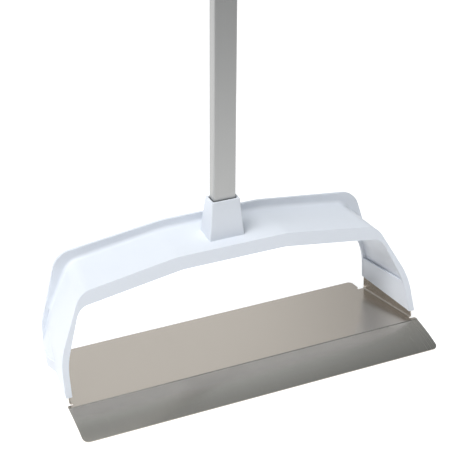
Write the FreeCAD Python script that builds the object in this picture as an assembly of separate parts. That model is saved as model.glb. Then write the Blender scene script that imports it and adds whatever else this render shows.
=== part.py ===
"""Stand-up dustpan: a bent stainless tray in a white moulded arch, on a rectangular aluminium pole.

Millimetres, +Z up, +Y from the sweeping lip towards the rear, +X to the right seen from the lip.
The tool stands on the lip's front edge and the floor sheet's rear edge, with its pole upright.
Everything is drawn from the crease (Y = 0) and moved at the end, so that the origin is the centre
of the tool's footprint at floor level.
"""
import FreeCAD, Part
import math
import os

V = FreeCAD.Vector

# ---- tray: one stainless sheet ------------------------------------------------------------
TRAY_WIDTH = 320.0          # lip, corner to corner
FLOOR_DEPTH = 91.0          # crease to rear edge, along the sheet
LIP_LENGTH = 37.3           # crease to front edge, along the sheet
FLOOR_TILT = 5.5            # degrees that the floor falls towards the rear
SHEET = 0.8
LIP_FRONT_RADIUS = 5.0
LIP_BACK_RADIUS = 3.5
WING_BACK = 3.2             # how far the lip's ends reach behind the crease
WING_NOTCH = 0.6            # step in from the bend's tangent line, behind the lip's ends
FLANGE_START = 5.2          # front end of the side flange, behind the crease
FLANGE_LENGTH = 69.0
FLANGE_HEIGHT = 24.0
SIDE_TAPER = 0.11           # inward run of each side per unit of depth
BEND_RADIUS = 1.3           # inside
REAR_INSET = 2.71           # rear edge of the floor, in from the flange's bend
REAR_RADIUS = 4.5
RELIEF = 1.6                # width of the relief cuts beside the bends
STAKE_PITCH = 24.0          # holes in the flange, for the clamp's stakes
STAKE_RADIUS = 2.0
STAKE_HEIGHT = 14.0         # above the floor sheet
STAKE_SEAT = 1.2            # how far each stake enters the leg's wall
STAKE_ROOT = 1.0            # how far it is rooted in the clamp

# ---- arch: one white moulding --------------------------------------------------------------
LEG_BOTTOM = 14.4           # height of the legs' lower ends
LEG_HALF_WIDTH = TRAY_WIDTH / 2.0        # the legs' outer faces line up with the lip's corners
LEG_THICK = 5.2
STRIP_AT_CORNER = 3.2       # width of the front strip where it reaches the top corners
STRIP_TOP = 9.8             # height of the front strip on the top
STRIP_DROP = 0.6            # how much higher it is at the top corners
STRIP_TURN = 4.0            # its lower edge turns this much earlier and tighter than the upper one
STRIP_DEPTH = 3.0           # wall behind the front strip
WALL = 2.2
FRONT_LEAN = 0.40           # rearward run of the front face per unit of height
REAR_LEAN = 0.115
FOOT_FRONT = 5.0            # front of the leg at its lower end
REAR_BASE = 75.0            # rear of the leg at its lower end
NEAR_Y = 20.0               # the two depths at which the outline is laid down
FAR_Y = 82.0
TOP_NEAR = 97.9             # top of the arch at its middle, at the nearer depth
TOP_RISE = 4.6              # the farther depth above it
KINK_NEAR, KINK_FAR = 52.0, 46.0         # half width of the level middle
CORNER_NEAR, CORNER_FAR = (23.1, 10.1), (32.4, 10.6)      # in from the leg's face, down from the top
KNEE_NEAR, KNEE_FAR = 42.9, 43.4         # height of the knee
KINK_RADIUS = 60.0
CORNER_RADIUS = 16.0
KNEE_RADIUS = 50.0
INNER_KNEE_DROP = 4.0       # inner knee below the outer one
RIM_THICK = 2.6
RIM_ROOT = 0.6              # the rim's root stops this far short of the wall's inner side
RIM_RISE = 7.7              # top of the rear rim above the arch's top, at its middle
RIM_KINK = 44.0
RIM_CORNER = (21.5, 11.0)   # in from the leg's face, down from the rim's top
RIM_CORNER_RADIUS = 18.0
RIM_KNEE = (4.4, 41.0)      # in from the leg's face, height
RIM_KNEE_RADIUS = 25.0
RIM_FRONT = 40.0            # the rim is laid down from this depth to behind the arch
BUTTRESS_IN = 1.0           # outermost corner of the buttress, in from the leg's face
BUTTRESS_FRONT = 43.0       # depth where it leaves the leg's skin
BUTTRESS_CORNER = 54.6      # depth of that outermost corner
BUTTRESS_END = 9.0          # height of its thicker lower end
BUTTRESS_STEP = 0.8         # ledge between that end and the wedge
BUTTRESS_TOP = 52.0
BUTTRESS_SINK = 0.3         # how far its edges lie in the leg's skin and outside the rim
RIB_THICK = 1.8
RIB_PITCH = 34.0
RIB_START = 4.0             # first rib beyond the socket's base
RIBS_PER_SIDE = 3
RIB_SETBACK = 1.2           # the ribs stop this far above the strip's lower edge

# ---- clamp plates inside the legs ----------------------------------------------------------
CLAMP_HEIGHT = 31.5         # above the floor sheet, with an upper edge parallel to it
FIT = 0.2                   # clearance round seated moulded parts

# ---- socket and pole -----------------------------------------------------------------------
POLE_Y = 60.5
POLE_WIDTH, POLE_DEPTH = 20.0, 10.0
POLE_WALL = 1.2
POLE_EDGE = 1.6
POLE_GAP = 0.8              # round the pole at the socket's mouth
SOCKET_WALL = 1.7           # at the mouth
SOCKET_FLARE = (8.0, 7.0)   # how much wider and deeper the base is
SOCKET_FLOOR = 2.2
SOCKET_DROP = 6.3           # its floor below the arch's top
SOCKET_BASE = 2.4           # its base's level above its floor
SOCKET_DEPTH = 41.8         # mouth above its floor
SOCKET_EDGE = 1.0
PLUG_HEIGHT = 26.0
PLUG_FLANGE = 2.0
POLE_TOP = 800.0

# ---- grip at the top of the pole -----------------------------------------------------------
GRIP_LENGTH = 130.0
GRIP_WALL = (3.5, 3.0)      # at the pole's narrow and broad sides
GRIP_EDGE = 5.0
GRIP_FIT = 0.15
CAP_HEIGHT = 36.0
CAP_SPIGOT = 22.0
CAP_FLAT = 2.0              # level width left at the cap's crown
HANG_RADIUS = 4.5
HANG_DROP = 14.0            # hang hole below the cap's top
SCREW_HEAD_RADIUS = 2.8
SCREW_HEAD = 1.6
SCREW_RADIUS = 1.4
SCREW_LENGTH = 6.0
SCREW_FIT = 0.05            # in its pilot hole
SCREW_SLOT = 0.7            # width of the cross slot
SCREW_SLOT_LENGTH = 3.6
SCREW_SLOT_DEPTH = 0.9

BIG = 400.0
tilt = math.radians(FLOOR_TILT)
crease_z = FLOOR_DEPTH * math.sin(tilt)
rear_y = FLOOR_DEPTH * math.cos(tilt)
lip_reach = math.sqrt(LIP_LENGTH ** 2 - crease_z ** 2)
lip_angle = math.atan2(crease_z, lip_reach)
centre_y = (rear_y - lip_reach) / 2.0
lift = SHEET * math.cos(tilt)   # brings the sheet's underside to floor level
clamp_out = WALL + SHEET + 2 * FIT          # clamp's outer side, in from the leg's outer face
bend_half_width = LEG_HALF_WIDTH - clamp_out - BEND_RADIUS
top_far = TOP_NEAR + TOP_RISE
rim_top = top_far + RIM_RISE
socket_floor_z = TOP_NEAR - SOCKET_DROP
socket_top = socket_floor_z + SOCKET_DEPTH
bore_size = (POLE_WIDTH + 2 * POLE_GAP, POLE_DEPTH + 2 * POLE_GAP)
socket_top_size = [size + 2 * SOCKET_WALL for size in bore_size]
socket_base_size = [size + flare for size, flare in zip(socket_top_size, SOCKET_FLARE)]
grip_size = (POLE_WIDTH + 2 * GRIP_WALL[0], POLE_DEPTH + 2 * GRIP_WALL[1])


# ---- helpers -------------------------------------------------------------------------------
def rounded(points, radii, closed=True):
    """A wire through the points, with an arc of the given radius at each point."""
    count = len(points)
    edges, ends = [], []
    for i, (p, r) in enumerate(zip(points, radii)):
        a, b = points[i - 1], points[(i + 1) % count]
        if r <= 0 or (not closed and i in (0, count - 1)):
            ends.append((p, p, None))
            continue
        u, w = (a - p).normalize(), (b - p).normalize()
        half = u.getAngle(w) / 2.0
        reach = r / math.tan(half)
        middle = (u + w).normalize() * (r / math.sin(half) - r)
        ends.append((p + u * reach, p + w * reach, p + middle))
    for i in range(count):
        start, end, middle = ends[i]
        if middle is not None:
            edges.append(Part.Arc(start, middle, end).toShape())
        following = ends[(i + 1) % count][0]
        if closed or i < count - 1:
            edges.append(Part.LineSegment(end, following).toShape())
    return Part.Wire(edges)


def prism(points, radii, run):
    """A closed outline pushed along a vector."""
    return Part.Face(rounded(points, radii)).extrude(run)


def rod(start, direction, radius, length):
    return Part.makeCylinder(radius, length, start, direction)


def box(low, high):
    return Part.makeBox(high.x - low.x, high.y - low.y, high.z - low.z, low)


def mirrored(shape):
    """The same shape on the other side, as a solid that faces outward."""
    return shape.mirror(V(0, 0, 0), V(1, 0, 0))


def on_floor(shape):
    """From the floor sheet's own plane (X across, Y along the sheet, Z off it) to its tilted place."""
    placed = shape.copy()
    placed.rotate(V(0, 0, 0), V(1, 0, 0), -FLOOR_TILT)
    placed.translate(V(0, 0, crease_z))
    return placed


# ---- tray ----------------------------------------------------------------------------------
def bend_x(along):
    """Half width of the bend's tangent line at a distance behind the crease."""
    return bend_half_width - SIDE_TAPER * (along - FLANGE_START)


def stake_places():
    """Distances behind the crease of the three stake holes in each flange."""
    middle = FLANGE_START + FLANGE_LENGTH / 2.0
    return [middle + STAKE_PITCH * i for i in (-1, 0, 1)]


def flange():
    """Right side flange with its bend, in the sheet's own plane."""
    end = FLANGE_START + FLANGE_LENGTH
    outer = BEND_RADIUS + SHEET
    profile_pieces = []
    for along in (FLANGE_START, end):
        x = bend_x(along)
        section = [V(x, along, -SHEET), V(x, along, 0),
                   V(x + BEND_RADIUS, along, BEND_RADIUS), V(x + BEND_RADIUS, along, FLANGE_HEIGHT),
                   V(x + outer, along, FLANGE_HEIGHT), V(x + outer, along, BEND_RADIUS)]
        inside = V(x + BEND_RADIUS * math.sin(math.pi / 4), along,
                   BEND_RADIUS * (1 - math.cos(math.pi / 4)))
        outside = V(x + outer * math.sin(math.pi / 4), along,
                    BEND_RADIUS - outer * math.cos(math.pi / 4))
        profile_pieces.append(Part.Wire([
            Part.LineSegment(section[0], section[1]).toShape(),
            Part.Arc(section[1], inside, section[2]).toShape(),
            Part.LineSegment(section[2], section[3]).toShape(),
            Part.LineSegment(section[3], section[4]).toShape(),
            Part.LineSegment(section[4], section[5]).toShape(),
            Part.Arc(section[5], outside, section[0]).toShape()]))
    sheet = Part.makeLoft(profile_pieces, True, True)
    for along in stake_places():
        x = bend_x(along)
        sheet = sheet.cut(rod(V(x - 2, along, STAKE_HEIGHT), V(1, 0, 0), STAKE_RADIUS + FIT, 8))
    return sheet


def wall_seats():
    """What the flanges' ends leave free for the front and rear walls of the legs."""
    above = box(V(-BIG, -BIG, LEG_BOTTOM - FIT), V(BIG, BIG, BIG))
    return above.cut(front_face(STRIP_DEPTH + FIT).common(rear_space(WALL + FIT)))


def tray():
    """One bent sheet: the floor with its side flanges, and the sweeping lip."""
    end = FLANGE_START + FLANGE_LENGTH
    half = TRAY_WIDTH / 2.0
    wing_x = bend_half_width - WING_NOTCH
    rear = bend_x(end) - REAR_INSET
    right = [(half, 0, 0), (half, WING_BACK, LIP_BACK_RADIUS / 2.0), (wing_x, WING_BACK, 0),
             (wing_x, FLANGE_START, 0), (bend_x(FLANGE_START), FLANGE_START, 0), (bend_x(end), end, 0),
             (rear - RELIEF, end, 0), (rear - RELIEF, end + RELIEF, 0),
             (rear, end + 2 * RELIEF, 0), (rear, FLOOR_DEPTH, REAR_RADIUS)]
    outline = right + [(-x, y, r) for x, y, r in reversed(right)]
    sheet = prism([V(x, y, -SHEET) for x, y, r in outline], [r for x, y, r in outline], V(0, 0, SHEET))
    side = flange()
    sheet = sheet.fuse([side, mirrored(side)])
    sheet = on_floor(sheet).cut(wall_seats())
    lip = prism([V(-half, 0, -SHEET), V(half, 0, -SHEET), V(half, -LIP_LENGTH, -SHEET),
                 V(-half, -LIP_LENGTH, -SHEET)], [0, 0, LIP_FRONT_RADIUS, LIP_FRONT_RADIUS],
                V(0, 0, SHEET))
    lip.rotate(V(0, 0, 0), V(1, 0, 0), math.degrees(lip_angle))
    lip.translate(V(0, 0, crease_z))
    wedge = prism([V(-half, 0, crease_z),
                   V(-half, -SHEET * math.sin(tilt), crease_z - SHEET * math.cos(tilt)),
                   V(-half, SHEET * math.sin(lip_angle), crease_z - SHEET * math.cos(lip_angle))],
                  [0, 0, 0], V(TRAY_WIDTH, 0, 0))
    return lip.fuse([sheet, wedge]).removeSplitter()


# ---- arch outline --------------------------------------------------------------------------
def between(near, far, y):
    return near + (far - near) * (y - NEAR_Y) / (FAR_Y - NEAR_Y)


def leg_outer(y):
    """Outer face of the vertical part of the leg at a depth."""
    return LEG_HALF_WIDTH - SIDE_TAPER * (y - FOOT_FRONT)


def outer_corners(y, inset=0.0):
    """Right half of the arch's outer outline at a depth: middle, kink, corner, knee, foot."""
    top = between(TOP_NEAR, top_far, y)
    kink = between(KINK_NEAR, KINK_FAR, y)
    corner_x = LEG_HALF_WIDTH - between(CORNER_NEAR[0], CORNER_FAR[0], y) - inset
    corner_z = top - between(CORNER_NEAR[1], CORNER_FAR[1], y) - inset
    top -= inset
    knee = between(KNEE_NEAR, KNEE_FAR, y)
    foot = leg_outer(y) - inset
    return [(0.0, top), (kink, top), (corner_x, corner_z), (foot, knee), (foot, -10.0)]


def inner_corners(y):
    """Right half of the inner outline at a depth, from the foot to the middle."""
    outer = outer_corners(y)
    foot = outer[3][0] - LEG_THICK
    knee = outer[3][1] - INNER_KNEE_DROP
    corner_z = outer[2][1] - STRIP_TOP - STRIP_DROP
    flare = (outer[3][0] - outer[2][0]) / (outer[2][1] - outer[3][1])
    corner_x = outer[2][0] + flare * (outer[2][1] - corner_z) - STRIP_AT_CORNER
    top = outer[0][1] - STRIP_TOP
    return [(foot, -10.0), (foot, knee), (corner_x, corner_z), (outer[1][0] - STRIP_TURN, top), (0.0, top)]


def whole_outline(y, outer, outer_radii, inner, inner_radii):
    """Closed wire at a depth from the right halves of an outer and an inner outline."""
    left_outer = [(-x, z) for x, z in reversed(outer[1:])]
    left_inner = [(-x, z) for x, z in reversed(inner[:-1])]
    points = left_outer + outer[1:] + inner[:-1] + left_inner
    radii = (outer_radii[1:][::-1] + outer_radii[1:] + inner_radii[:-1] + inner_radii[:-1][::-1])
    return rounded([V(x, y, z) for x, z in points], radii)


OUTER_RADII = [0, KINK_RADIUS, CORNER_RADIUS, KNEE_RADIUS, 0]
INNER_RADII = [0, KNEE_RADIUS, CORNER_RADIUS - STRIP_TURN, KINK_RADIUS, 0]
FRONT_PLANE, BACK_PLANE = -12.0, 100.0


def band(inset, inner_of):
    """The arch as a solid band from in front of it to behind it, before its ends are cut."""
    wires = [whole_outline(y, outer_corners(y, inset), OUTER_RADII, inner_of(y), INNER_RADII)
             for y in (FRONT_PLANE, BACK_PLANE)]
    return Part.makeLoft(wires, True, True)


def front_face(offset):
    """The space behind the arch's leaning front face, moved back by an offset."""
    at_floor = FOOT_FRONT - FRONT_LEAN * LEG_BOTTOM + offset
    points = [V(-BIG, at_floor - FRONT_LEAN * 20, -20), V(-BIG, at_floor + FRONT_LEAN * BIG, BIG),
              V(-BIG, BIG, BIG), V(-BIG, BIG, -20)]
    return prism(points, [0] * 4, V(2 * BIG, 0, 0))


def rear_space(offset):
    """The space in front of the leaning rear face, moved forward by an offset."""
    at_floor = REAR_BASE - REAR_LEAN * LEG_BOTTOM - offset
    points = [V(-BIG, -BIG, -20), V(-BIG, at_floor - REAR_LEAN * 20, -20),
              V(-BIG, at_floor + REAR_LEAN * BIG, BIG), V(-BIG, -BIG, BIG)]
    return prism(points, [0] * 4, V(2 * BIG, 0, 0))


def pocket():
    """The hollow inside the channel, behind the front strip and in front of the rear return."""
    wires = []
    for y in (FRONT_PLANE, BACK_PLANE):
        outer = outer_corners(y, WALL)[1:]
        points = [(-x, z) for x, z in reversed(outer)] + outer
        radii = OUTER_RADII[1:][::-1] + OUTER_RADII[1:]
        wires.append(rounded([V(x, y, z) for x, z in points], radii))
    hollow = Part.makeLoft(wires, True, True)
    return hollow.common(front_face(STRIP_DEPTH)).common(rear_space(WALL))


def ribs():
    """Cross ribs under the top, either side of the socket."""
    slabs = []
    for i in range(RIBS_PER_SIDE):
        x = socket_base_size[0] / 2.0 + RIB_START + RIB_PITCH * i
        slab = box(V(x, 0, KNEE_NEAR), V(x + RIB_THICK, BACK_PLANE, rim_top))
        slabs += [slab, mirrored(slab)]

    def lifted(y):
        return [(x, z + RIB_SETBACK) if z > KNEE_FAR else (x, z) for x, z in inner_corners(y)]
    return Part.makeCompound(slabs).common(band(WALL / 2.0, lifted))


def rim():
    """Rear rim that stands up from the top and out from the legs."""
    foot = LEG_HALF_WIDTH - RIM_KNEE[0]
    outer = [(0.0, rim_top), (RIM_KINK, rim_top), (LEG_HALF_WIDTH - RIM_CORNER[0], rim_top - RIM_CORNER[1]),
             (foot, RIM_KNEE[1]), (foot, -10.0)]
    radii = [0, KINK_RADIUS, RIM_CORNER_RADIUS, RIM_KNEE_RADIUS, 0]
    wires = []
    for y in (RIM_FRONT, BACK_PLANE):
        inner = outer_corners(y, WALL - RIM_ROOT)[::-1]
        wires.append(whole_outline(y, outer, radii, inner, OUTER_RADII[::-1]))
    flat = Part.makeLoft(wires, True, True)
    return flat.common(rear_space(0.0)).cut(rear_space(RIM_THICK))


def buttress():
    """Right buttress of the rim's foot: a wedge that dies out upward, over a thicker rounded end."""
    skin = leg_outer(REAR_BASE) - WALL / 2.0

    def level(z, setback):
        rear = REAR_BASE + REAR_LEAN * (z - LEG_BOTTOM)
        front_x = leg_outer(BUTTRESS_FRONT)
        return [V(front_x - WALL / 2.0, BUTTRESS_FRONT + setback, z),
                V(front_x - BUTTRESS_SINK, BUTTRESS_FRONT + setback, z),
                V(LEG_HALF_WIDTH - BUTTRESS_IN - setback, BUTTRESS_CORNER, z),
                V(LEG_HALF_WIDTH - RIM_KNEE[0] + BUTTRESS_SINK, rear, z), V(skin, rear, z)]

    def closed(points):
        return Part.makePolygon(points + points[:1])
    ledge = LEG_BOTTOM + BUTTRESS_END
    rear = REAR_BASE + REAR_LEAN * (BUTTRESS_TOP - LEG_BOTTOM)
    front = rear - RIM_THICK - BUTTRESS_SINK
    corner, knee = outer_corners(rear)[2:4]
    x = knee[0] - (knee[0] - corner[0]) * (BUTTRESS_TOP - knee[1]) / (corner[1] - knee[1])
    apex = [V(x - WALL / 2.0, front, BUTTRESS_TOP), V(x, front, BUTTRESS_TOP),
            V(x + BUTTRESS_SINK, front, BUTTRESS_TOP), V(x + WALL / 2.0, rear, BUTTRESS_TOP),
            V(x - WALL / 2.0, rear, BUTTRESS_TOP)]
    end = Part.makeLoft([closed(level(LEG_BOTTOM, 0.0)), closed(level(ledge, 0.0))], True, True)
    wedge = Part.makeLoft([closed(level(ledge, BUTTRESS_STEP)), closed(apex)], True, True)
    return end.fuse(wedge)


# ---- socket --------------------------------------------------------------------------------
def rectangle(size, z, edge):
    w, d = size[0] / 2.0, size[1] / 2.0
    corners = [V(-w, POLE_Y - d, z), V(w, POLE_Y - d, z), V(w, POLE_Y + d, z), V(-w, POLE_Y + d, z)]
    return rounded(corners, [edge] * 4)


def socket_outside():
    taper = (SOCKET_DEPTH + SOCKET_FLOOR) / (SOCKET_DEPTH - SOCKET_BASE)
    foot = [t + (b - t) * taper for t, b in zip(socket_top_size, socket_base_size)]
    low = socket_floor_z - SOCKET_FLOOR
    return Part.makeLoft([rectangle(foot, low, SOCKET_EDGE),
                          rectangle(socket_top_size, socket_top, SOCKET_EDGE)], True, True)


def socket_bore():
    return Part.makeLoft([rectangle(bore_size, socket_floor_z, POLE_EDGE),
                          rectangle(bore_size, socket_top + 5, POLE_EDGE)], True, True)


def arch_frame():
    """The whole white moulding: channel arch, rear rim, buttresses, ribs and pole socket."""
    depth = front_face(0.0).common(rear_space(0.0))
    above = box(V(-BIG, -BIG, LEG_BOTTOM), V(BIG, BIG, BIG))
    arch = band(0.0, inner_corners).common(depth).common(above)
    hollow = pocket()
    arch = arch.cut(hollow)
    webs = ribs().common(front_face(STRIP_DEPTH / 2.0)).common(rear_space(WALL / 2.0))
    side = buttress().cut(hollow)
    shape = arch.fuse([rim().common(above), side, mirrored(side), webs, socket_outside()])
    shape = shape.cut(socket_bore())
    for along in stake_places():
        place = stake_point(along)
        pit = rod(place, V(1, 0, 0), STAKE_RADIUS + FIT, stake_reach() + FIT / 2.0)
        shape = shape.cut([pit, mirrored(pit)])
    return shape.removeSplitter()


# ---- clamp plates --------------------------------------------------------------------------
def stake_point(along):
    """Where a stake's axis crosses the clamp's outer side."""
    centre = on_floor(Part.Vertex(V(bend_x(along), along, STAKE_HEIGHT)))
    return V(leg_outer(centre.Y) - clamp_out, centre.Y, centre.Z)


def stake_reach():
    """From the clamp's outer side through the flange into the leg's wall."""
    return SHEET + 2 * FIT + STAKE_SEAT


def clamp():
    """Right clamp plate with its stakes, which holds the flange against the leg's wall."""
    wires = []
    for y in (FRONT_PLANE, BACK_PLANE):
        inner = leg_outer(y) - LEG_THICK
        outer = leg_outer(y) - clamp_out
        top = crease_z - y * math.tan(tilt) + CLAMP_HEIGHT
        wires.append(Part.makePolygon([V(inner, y, -10), V(outer, y, -10), V(outer, y, top),
                                       V(inner, y, top), V(inner, y, -10)]))
    slab = Part.makeLoft(wires, True, True)
    slab = slab.common(front_face(STRIP_DEPTH + FIT)).common(rear_space(WALL + FIT))
    slab = slab.common(box(V(-BIG, -BIG, LEG_BOTTOM), V(BIG, BIG, BIG)))
    for along in stake_places():
        root = V(STAKE_ROOT, 0, 0)
        slab = slab.fuse(rod(stake_point(along) - root, V(1, 0, 0), STAKE_RADIUS,
                             STAKE_ROOT + stake_reach()))
    return slab.removeSplitter()


# ---- pole, plug and grip -------------------------------------------------------------------
def pole_prism(width, depth, edge, low, high):
    w, d = width / 2.0, depth / 2.0
    corners = [V(-w, POLE_Y - d, low), V(w, POLE_Y - d, low), V(w, POLE_Y + d, low),
               V(-w, POLE_Y + d, low)]
    return prism(corners, [edge] * 4, V(0, 0, high - low))


def pole_foot():
    return socket_floor_z + FIT + PLUG_FLANGE


def pole_tube():
    inner_edge = max(POLE_EDGE - POLE_WALL, 0.3)
    tube = pole_prism(POLE_WIDTH, POLE_DEPTH, POLE_EDGE, pole_foot(), POLE_TOP)
    bore = pole_prism(POLE_WIDTH - 2 * POLE_WALL, POLE_DEPTH - 2 * POLE_WALL, inner_edge,
                      pole_foot() - 1, POLE_TOP + 1)
    hole = rod(V(0, POLE_Y, screw_z()), V(0, 1, 0), SCREW_RADIUS + FIT, POLE_DEPTH)
    return tube.cut([bore, hole])


def spigot(low, high):
    inner_edge = max(POLE_EDGE - POLE_WALL, 0.3)
    return pole_prism(POLE_WIDTH - 2 * POLE_WALL - 2 * GRIP_FIT,
                      POLE_DEPTH - 2 * POLE_WALL - 2 * GRIP_FIT, inner_edge, low, high)


def pole_foot_plug():
    """Plug in the tube's lower end: its flange fills the socket's bore and grips in it."""
    flange_low = socket_floor_z + FIT
    head = pole_prism(bore_size[0] - 2 * FIT, bore_size[1] - 2 * FIT, POLE_EDGE, flange_low,
                      flange_low + PLUG_FLANGE)
    return head.fuse(spigot(flange_low + PLUG_FLANGE, flange_low + PLUG_FLANGE + PLUG_HEIGHT))


def screw_z():
    return POLE_TOP - CAP_SPIGOT / 2.0


def grip_sleeve():
    low = POLE_TOP - GRIP_LENGTH
    body = pole_prism(grip_size[0], grip_size[1], GRIP_EDGE, low, POLE_TOP)
    bore = pole_prism(POLE_WIDTH + 2 * GRIP_FIT, POLE_DEPTH + 2 * GRIP_FIT, POLE_EDGE, low - 1,
                      POLE_TOP + 1)
    rear = POLE_Y + grip_size[1] / 2.0
    seat = rod(V(0, rear + FIT, screw_z()), V(0, -1, 0), SCREW_HEAD_RADIUS + FIT, SCREW_HEAD + FIT)
    hole = rod(V(0, POLE_Y, screw_z()), V(0, 1, 0), SCREW_RADIUS + FIT, grip_size[1])
    return body.cut([bore, seat, hole])


def grip_end_cap():
    """Cap over the pole's top, with the hang hole and a spigot in the tube."""
    top = POLE_TOP + CAP_HEIGHT
    body = pole_prism(grip_size[0], grip_size[1], GRIP_EDGE, POLE_TOP, top)
    half, turn = grip_size[0] / 2.0, (grip_size[0] - CAP_FLAT) / 2.0
    outline = [V(-half, 0, POLE_TOP), V(half, 0, POLE_TOP), V(half, 0, top), V(-half, 0, top)]
    crown = prism(outline, [0, 0, turn, turn], V(0, 2 * BIG, 0))
    body = body.common(crown)
    hole = rod(V(0, POLE_Y - grip_size[1], top - HANG_DROP), V(0, 1, 0), HANG_RADIUS, 2 * grip_size[1])
    stem = spigot(POLE_TOP - CAP_SPIGOT, POLE_TOP)
    pilot = rod(V(0, POLE_Y, screw_z()), V(0, 1, 0), SCREW_RADIUS + SCREW_FIT, grip_size[1])
    return body.fuse(stem).cut([hole, pilot])


def grip_screw():
    rear = POLE_Y + grip_size[1] / 2.0
    shank = rod(V(0, rear - SCREW_HEAD, screw_z()), V(0, -1, 0), SCREW_RADIUS, SCREW_LENGTH)
    head = rod(V(0, rear, screw_z()), V(0, -1, 0), SCREW_HEAD_RADIUS, SCREW_HEAD)
    wide, half, low = SCREW_SLOT_LENGTH / 2.0, SCREW_SLOT / 2.0, rear - SCREW_SLOT_DEPTH
    level = box(V(-wide, low, screw_z() - half), V(wide, rear + 1, screw_z() + half))
    upright = box(V(-half, low, screw_z() - wide), V(half, rear + 1, screw_z() + wide))
    return shank.fuse(head).cut([level, upright])


def build():
    os.makedirs("parts", exist_ok=True)
    right = clamp()
    nodes = {
        "tray": tray(),
        "arch_frame": arch_frame(),
        "flange_clamp_right": right,
        "flange_clamp_left": mirrored(right),
        "pole_tube": pole_tube(),
        "pole_foot_plug": pole_foot_plug(),
        "grip_sleeve": grip_sleeve(),
        "grip_end_cap": grip_end_cap(),
        "grip_screw": grip_screw(),
    }
    for name, shape in nodes.items():
        shape = shape.copy()
        shape.translate(V(0, -centre_y, lift))
        solids = shape.Solids
        if len(solids) == 1:
            shape = solids[0]
        box_ = shape.optimalBoundingBox()
        print(name, shape.isValid(), len(solids), round(shape.Volume, 1),
              [round(v, 2) for v in (box_.XMin, box_.XMax, box_.YMin, box_.YMax, box_.ZMin, box_.ZMax)])
        shape.exportStep("parts/%s.step" % name)


build()
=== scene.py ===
import math

import bmesh
import bpy
from mathutils import Matrix, Vector


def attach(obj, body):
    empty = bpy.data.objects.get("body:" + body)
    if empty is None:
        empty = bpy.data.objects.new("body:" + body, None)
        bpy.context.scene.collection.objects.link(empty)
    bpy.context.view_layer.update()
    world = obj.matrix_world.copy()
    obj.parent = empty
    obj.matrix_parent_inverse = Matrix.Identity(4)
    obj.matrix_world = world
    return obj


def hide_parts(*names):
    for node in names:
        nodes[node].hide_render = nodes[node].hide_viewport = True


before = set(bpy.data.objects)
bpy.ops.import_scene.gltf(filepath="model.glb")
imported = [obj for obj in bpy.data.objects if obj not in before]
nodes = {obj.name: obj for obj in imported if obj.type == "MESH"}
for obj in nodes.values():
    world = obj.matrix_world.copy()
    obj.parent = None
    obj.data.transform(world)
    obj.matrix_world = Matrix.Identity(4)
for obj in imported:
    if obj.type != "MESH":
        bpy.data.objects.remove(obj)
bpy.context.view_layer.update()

MM = 0.001

# ---- sizes of the shapes, in millimetres ---------------------------------------------------
WELD = 0.002                                # vertices closer than this are one
FLAT = 0.6                                  # degrees between faces that are merged into one
CUT = 0.001                                 # tolerance of the cuts across the lip
LIP_CREASE, LIP_FRONT = -27.16, -63.42      # depths of the crease and of the lip's front edge
LIP_BOW = 1.1                               # rise of the lip's middle above a flat sheet
LIP_STRIPS = 12
LIP_FOLD, LIP_STEP = 0.9, 0.25              # width and depth of the pressed fold line at the crease
RIM_FACE, RIM_LEAN = 43.49, 0.115           # depth of the rim's front face at floor level, and its lean
RIM_NEAR = 0.15                             # an edge this close to that face belongs to it
FOLD, FOLD_LOW = 3.0, 66.0                  # width of the rim's fold, and the height where it starts
FOLD_ANGLE = 0.5                            # radians between the faces on either side of the fold
FOLD_SEGMENTS = 5

# ---- light and camera ----------------------------------------------------------------------
FLOOR_HALF = 6.0
FLOOR_GLOW = 0.75                           # the floor's own light round the tool
FLOOR_FADE = (-0.75, -0.10)                 # depths between which that light fades in
# Brightness by height, the sine of the elevation: bright walls under a dark cornice. The ramp's
# own ends are black at the horizon and a bright ceiling straight overhead.
SKY_FALL = [(0.10, 1.0), (0.45, 0.57), (0.85, 0.57), (0.93, 0.04)]
SKY_DEPTH = (-0.2, 0.6)                     # from the front wall to the rear wall
SKY_FRONT, SKY_BACK = 0.32, 0.94
SKY_LEFT, SKY_LEFT_LEVEL = (-0.4, 0.15), (0.5, 1.0)
SKY_RIGHT, SKY_RIGHT_LEVEL = (0.39, 0.49), (1.05, 0.52)
SKY_FILL, SKY_FILL_LEVEL = (0.38, 0.48), (0.21, 0.05)    # even light added at every height
SKY_COOL = (0.5, 0.8)                       # heights between which the light turns cooler
KEY_AT, KEY_AIM = (-0.8, -0.3, 1.9), (0, 0, 0.05)
KEY_SIZE, KEY_POWER = 1.0, 34.0
CAMERA_AT = (-403.40, -849.18, 639.23)      # millimetres
CAMERA_LENS, CAMERA_SENSOR = 102.37, 36.0
CAMERA_RIGHT = (0.90724, -0.42053, 0.00853)
CAMERA_DOWN = (-0.19765, -0.44412, -0.87390)
CAMERA_AHEAD = (0.37129, 0.79115, -0.48604)


# ---- helpers -------------------------------------------------------------------------------
def linear(code):
    """An sRGB hex colour as the linear values that the shader wants."""
    parts = [int(code[i:i + 2], 16) / 255.0 for i in (1, 3, 5)]
    return [p / 12.92 if p <= 0.04045 else ((p + 0.055) / 1.055) ** 2.4 for p in parts] + [1.0]


def add(tree, kind, settings=None, **links):
    """Adds a node, sets its properties or input values, and links sockets to its inputs."""
    node = tree.nodes.new(kind)
    for key, value in (settings or {}).items():
        if hasattr(node, key):
            setattr(node, key, value)
        else:
            node.inputs[key].default_value = value
    for key, socket in links.items():
        tree.links.new(socket, node.inputs[key])
    return node


def compute(tree, operation, *sockets):
    """The result of an operation on the sockets, in their order."""
    node = add(tree, "ShaderNodeMath", {"operation": operation})
    for i, socket in enumerate(sockets):
        tree.links.new(socket, node.inputs[i])
    return node.outputs[0]


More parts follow.
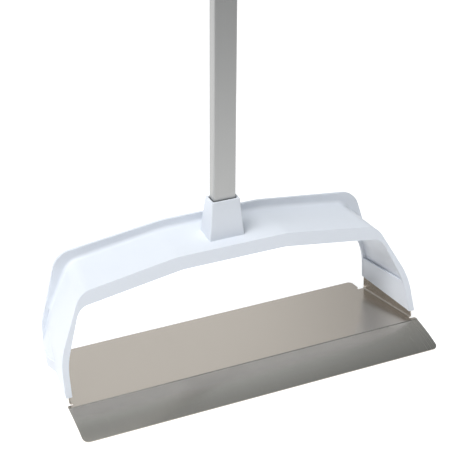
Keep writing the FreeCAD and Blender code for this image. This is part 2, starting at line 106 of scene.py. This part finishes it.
def ramp(tree, value, levels, span=(0.0, 1.0)):
    """Maps a span of a value to two levels, and holds them beyond it."""
    return add(tree, "ShaderNodeMapRange", {"From Min": span[0], "From Max": span[1],
               "To Min": levels[0], "To Max": levels[1]}, Value=value).outputs["Result"]


def mix(tree, factor, first, second):
    """A colour between two, by a factor."""
    node = add(tree, "ShaderNodeMix", {"data_type": "RGBA"}, Factor=factor)
    node.inputs[6].default_value = first
    node.inputs[7].default_value = second
    return node.outputs[2]


def material(name):
    """A new node material, with its Principled shader and Object coordinates."""
    made = bpy.data.materials.new(name)
    made.use_nodes = True
    tree = made.node_tree
    shader = tree.nodes["Principled BSDF"]
    where = add(tree, "ShaderNodeTexCoord").outputs["Object"]
    return made, tree, shader, where


def grain(tree, where, scale, detail=3.0):
    """Noise stretched by a Mapping node: scale is waves per metre along each axis."""
    spread = add(tree, "ShaderNodeMapping", {"Scale": scale}, Vector=where)
    return add(tree, "ShaderNodeTexNoise", {"Scale": 1.0, "Detail": detail, "Roughness": 0.6},
               Vector=spread.outputs["Vector"]).outputs["Fac"]


def relief(tree, shader, height, strength, depth):
    """Bump of a depth in millimetres."""
    bump = add(tree, "ShaderNodeBump", {"Strength": strength, "Distance": depth * MM}, Height=height)
    tree.links.new(bump.outputs["Normal"], shader.inputs["Normal"])


def surface(tree, shader, colour, roughness, metallic=0.0):
    """Gives the shader its colour and roughness."""
    tree.links.new(colour, shader.inputs["Base Color"])
    tree.links.new(roughness, shader.inputs["Roughness"])
    shader.inputs["Metallic"].default_value = metallic


# ---- materials -----------------------------------------------------------------------------
def stainless_sheet():
    """Cold-rolled stainless sheet, finely brushed from lip to rear: soft, faintly streaked
    reflections. Its scratches are about 0.05 mm wide; they are drawn 0.45 mm wide and 80 mm long,
    coarse enough to show."""
    made, tree, shader, where = material("brushed stainless sheet")
    streaks = grain(tree, where, (2200.0, 12.0, 12.0), detail=2.0)
    broad = grain(tree, where, (9.0, 6.0, 6.0), detail=2.0)
    rough = compute(tree, "ADD", ramp(tree, streaks, (0.22, 0.28)), ramp(tree, broad, (-0.03, 0.03)))
    surface(tree, shader, mix(tree, streaks, linear("#C2BBB2"), linear("#CEC7BE")), rough, 1.0)
    relief(tree, shader, streaks, 0.03, 0.02)
    return made


def satin_abs():
    """Injection-moulded ABS, satin from a fine spark-eroded mould: soft sheen, faint mottle. The
    mould's grain is about 0.05 mm; it is drawn 0.45 mm wide, coarse enough to show. The mottle is
    the flow of the melt, 17 mm wide."""
    made, tree, shader, where = material("satin white ABS")
    mottle = grain(tree, where, (60.0, 60.0, 60.0))
    texture = grain(tree, where, (2200.0, 2200.0, 2200.0), detail=2.0)
    shade = linear("#E8EDF5")
    darker = [c * 0.97 for c in shade[:3]] + [1.0]
    surface(tree, shader, mix(tree, mottle, shade, darker), ramp(tree, mottle, (0.38, 0.46)))
    relief(tree, shader, texture, 0.12, 0.03)
    shader.inputs["IOR"].default_value = 1.52
    shader.inputs["Subsurface Weight"].default_value = 0.05
    shader.inputs["Subsurface Radius"].default_value = (2.0 * MM, 2.0 * MM, 2.0 * MM)
    return made


def anodised_aluminium():
    """Satin anodised extrusion: a soft metallic sheen with die lines along the pole. The lines are
    about 0.1 mm apart; they are drawn 0.4 mm apart and 250 mm long, coarse enough to show."""
    made, tree, shader, where = material("satin anodised aluminium")
    lines = grain(tree, where, (2600.0, 2600.0, 4.0))
    surface(tree, shader, mix(tree, lines, linear("#B1B1B0"), linear("#BABAB9")),
            ramp(tree, lines, (0.36, 0.46)), 1.0)
    relief(tree, shader, lines, 0.08, 0.02)
    return made


def black_nylon():
    """Moulded nylon, matt black with a 3 mm mottle: the plug that is hidden in the pole's foot."""
    made, tree, shader, where = material("black moulded nylon")
    mottle = grain(tree, where, (300.0, 300.0, 300.0))
    surface(tree, shader, mix(tree, mottle, linear("#202124"), linear("#2B2C2F")),
            ramp(tree, mottle, (0.5, 0.62)))
    return made


def zinc_screw():
    """Zinc-plated steel screw: bright, with the plating's clouds 1.4 mm wide."""
    made, tree, shader, where = material("zinc-plated screw")
    cloud = grain(tree, where, (700.0, 700.0, 700.0))
    surface(tree, shader, mix(tree, cloud, linear("#B9BCC0"), linear("#CDD0D3")),
            ramp(tree, cloud, (0.22, 0.34)), 1.0)
    return made


# ---- pieces --------------------------------------------------------------------------------
def soft_fold(form):
    """Marks the inward fold between the arch's skin and its rear rim, for the wide bevel."""
    weight = form.edges.layers.float.new("bevel_weight_edge")
    for line in form.edges:
        if len(line.link_faces) != 2 or line.is_convex or line.calc_face_angle(0.0) <= FOLD_ANGLE:
            continue
        middle = (line.verts[0].co + line.verts[1].co) / (2.0 * MM)
        if abs(middle.y - RIM_FACE - RIM_LEAN * middle.z) < RIM_NEAR and middle.z > FOLD_LOW:
            line[weight] = 1.0


def bowed_lip(form):
    """The sweeping lip bows up a little between crease and front edge, as a pressed lip does."""
    run = LIP_CREASE - LIP_FRONT
    cuts = [LIP_FRONT + run * i / LIP_STRIPS for i in range(1, LIP_STRIPS)] + [LIP_CREASE - LIP_FOLD]
    for cut in cuts:
        bmesh.ops.bisect_plane(form, geom=form.verts[:] + form.edges[:] + form.faces[:],
                               plane_co=(0, cut * MM, 0), plane_no=(0, 1, 0), dist=CUT * MM)
    for vert in form.verts:
        y = vert.co.y / MM
        share = (y - LIP_FRONT) / run
        if y < LIP_CREASE - LIP_FOLD / 2.0:
            vert.co.z += (LIP_BOW * 4.0 * share * (1.0 - share) - LIP_STEP * share) * MM


def bevel(piece, name, width, segments, limit):
    """Adds a bevel of a width in millimetres."""
    made = piece.modifiers.new(name, "BEVEL")
    made.width = width * MM
    made.segments = segments
    made.limit_method = limit
    return made


def finished(node, edge, segments=3, sharp=28.0, shape=None):
    """A cleaned copy of a CAD node whose sharp edges are rounded by a radius in millimetres."""
    mesh = nodes[node].data.copy()
    form = bmesh.new()
    form.from_mesh(mesh)
    bmesh.ops.remove_doubles(form, verts=form.verts, dist=WELD * MM)
    bmesh.ops.dissolve_degenerate(form, edges=form.edges, dist=WELD * MM)
    bmesh.ops.dissolve_limit(form, angle_limit=math.radians(FLAT), verts=form.verts, edges=form.edges)
    if shape:
        shape(form)
    for face in form.faces:
        face.smooth = True
    form.to_mesh(mesh)
    form.free()
    piece = bpy.data.objects.new(node + "_finished", mesh)
    bpy.context.scene.collection.objects.link(piece)
    if shape is soft_fold:
        bevel(piece, "fold", FOLD, FOLD_SEGMENTS, "WEIGHT").use_clamp_overlap = False
    if edge:
        rounding = bevel(piece, "edge", edge, segments, "ANGLE")
        rounding.angle_limit = math.radians(sharp)
        rounding.miter_outer = "MITER_ARC"
    level = piece.modifiers.new("flat faces stay flat", "WEIGHTED_NORMAL")
    level.mode = "FACE_AREA"
    level.keep_sharp = True
    mesh.set_sharp_from_angle(angle=math.radians(90.0 if edge else sharp))
    shown = piece.evaluated_get(bpy.context.evaluated_depsgraph_get())
    done = bpy.data.meshes.new_from_object(shown)
    piece.modifiers.clear()
    piece.data = done
    return piece


def place(piece, body, node, look):
    piece.data.materials.clear()
    piece.data.materials.append(look)
    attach(piece, body)
    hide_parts(node)


white = satin_abs()
steel = stainless_sheet()
alloy = anodised_aluminium()

place(finished("tray", 0.12, 2, 12.0, bowed_lip), "pan", "tray", steel)
place(finished("arch_frame", 0.7, shape=soft_fold), "pan", "arch_frame", white)
place(finished("flange_clamp_right", 0.4), "pan", "flange_clamp_right", white)
place(finished("flange_clamp_left", 0.4), "pan", "flange_clamp_left", white)
place(finished("pole_tube", 0.0), "pole", "pole_tube", alloy)
place(finished("pole_foot_plug", 0.3), "pole", "pole_foot_plug", black_nylon())
place(finished("grip_sleeve", 0.8), "pole", "grip_sleeve", white)
place(finished("grip_end_cap", 0.6), "pole", "grip_end_cap", white)
place(finished("grip_screw", 0.15, 2), "pole", "grip_screw", zinc_screw())


# ---- floor, light and camera ---------------------------------------------------------------
def floor():
    """A large pale floor, lit from within so that it stays white round the tool and behind it."""
    mesh = bpy.data.meshes.new("floor")
    half = FLOOR_HALF
    mesh.from_pydata([(-half, -half, 0), (half, -half, 0), (half, half, 0), (-half, half, 0)], [],
                     [(0, 1, 2, 3)])
    piece = bpy.data.objects.new("floor", mesh)
    bpy.context.scene.collection.objects.link(piece)
    look, tree, shader, where = material("white studio floor")
    shader.inputs["Base Color"].default_value = linear("#CBCBCB")
    shader.inputs["Roughness"].default_value = 0.9
    shader.inputs["Specular IOR Level"].default_value = 0.0
    shader.inputs["Emission Color"].default_value = linear("#FFFFFF")
    depth = add(tree, "ShaderNodeSeparateXYZ", None, Vector=where).outputs["Y"]
    glow = add(tree, "ShaderNodeMapRange", {"interpolation_type": "SMOOTHSTEP",
               "From Min": FLOOR_FADE[0], "From Max": FLOOR_FADE[1], "To Min": 0.0,
               "To Max": FLOOR_GLOW}, Value=depth)
    tree.links.new(glow.outputs["Result"], shader.inputs["Emission Strength"])
    mesh.materials.append(look)


def sky():
    """A white studio, brightest low down behind the tool, cooler overhead, darker at the sides."""
    world = bpy.data.worlds.new("studio")
    bpy.context.scene.world = world
    world.use_nodes = True
    tree = world.node_tree
    tree.nodes.clear()
    where = add(tree, "ShaderNodeTexCoord").outputs["Generated"]
    axes = add(tree, "ShaderNodeSeparateXYZ", None, Vector=where).outputs
    fall = add(tree, "ShaderNodeValToRGB", None, Fac=axes["Z"])
    for height, grey in SKY_FALL:
        stop = fall.color_ramp.elements.new(height)
        stop.color = (grey, grey, grey, 1.0)
    back = ramp(tree, axes["Y"], (SKY_FRONT, SKY_BACK), SKY_DEPTH)
    left = ramp(tree, axes["X"], SKY_LEFT_LEVEL, SKY_LEFT)
    right = ramp(tree, axes["X"], SKY_RIGHT_LEVEL, SKY_RIGHT)
    fill = ramp(tree, axes["X"], SKY_FILL_LEVEL, SKY_FILL)
    walls = compute(tree, "MULTIPLY_ADD", fall.outputs["Color"], back, fill)
    strength = compute(tree, "MULTIPLY", compute(tree, "MULTIPLY", left, right), walls)
    cool = ramp(tree, axes["Z"], (0.0, 1.0), SKY_COOL)
    tint = mix(tree, cool, linear("#FFFFFE"), linear("#F0FAFF"))
    glow = add(tree, "ShaderNodeBackground", None, Color=tint, Strength=strength)
    add(tree, "ShaderNodeOutputWorld", None, Surface=glow.outputs["Background"])


def key_light():
    """One large soft light, above and to the left."""
    data = bpy.data.lights.new("key", "AREA")
    data.size = KEY_SIZE
    data.energy = KEY_POWER
    lamp = bpy.data.objects.new("key", data)
    lamp.location = KEY_AT
    lamp.rotation_euler = (Vector(KEY_AIM) - Vector(KEY_AT)).to_track_quat("-Z", "Y").to_euler()
    bpy.context.scene.collection.objects.link(lamp)


def camera():
    """The camera of the product view: a long lens, above the lip and to its left."""
    data = bpy.data.cameras.new("camera")
    data.lens, data.sensor_width, data.sensor_fit = CAMERA_LENS, CAMERA_SENSOR, "HORIZONTAL"
    seen = bpy.data.objects.new("camera", data)
    rows = Vector(CAMERA_RIGHT), -Vector(CAMERA_DOWN), -Vector(CAMERA_AHEAD)
    turn = Matrix(rows).transposed()
    seen.matrix_world = Matrix.Translation(Vector(CAMERA_AT) * MM) @ turn.to_4x4()
    bpy.context.scene.collection.objects.link(seen)
    bpy.context.scene.camera = seen


floor()
sky()
key_light()
camera()
bpy.context.scene.view_settings.view_transform = "Standard"
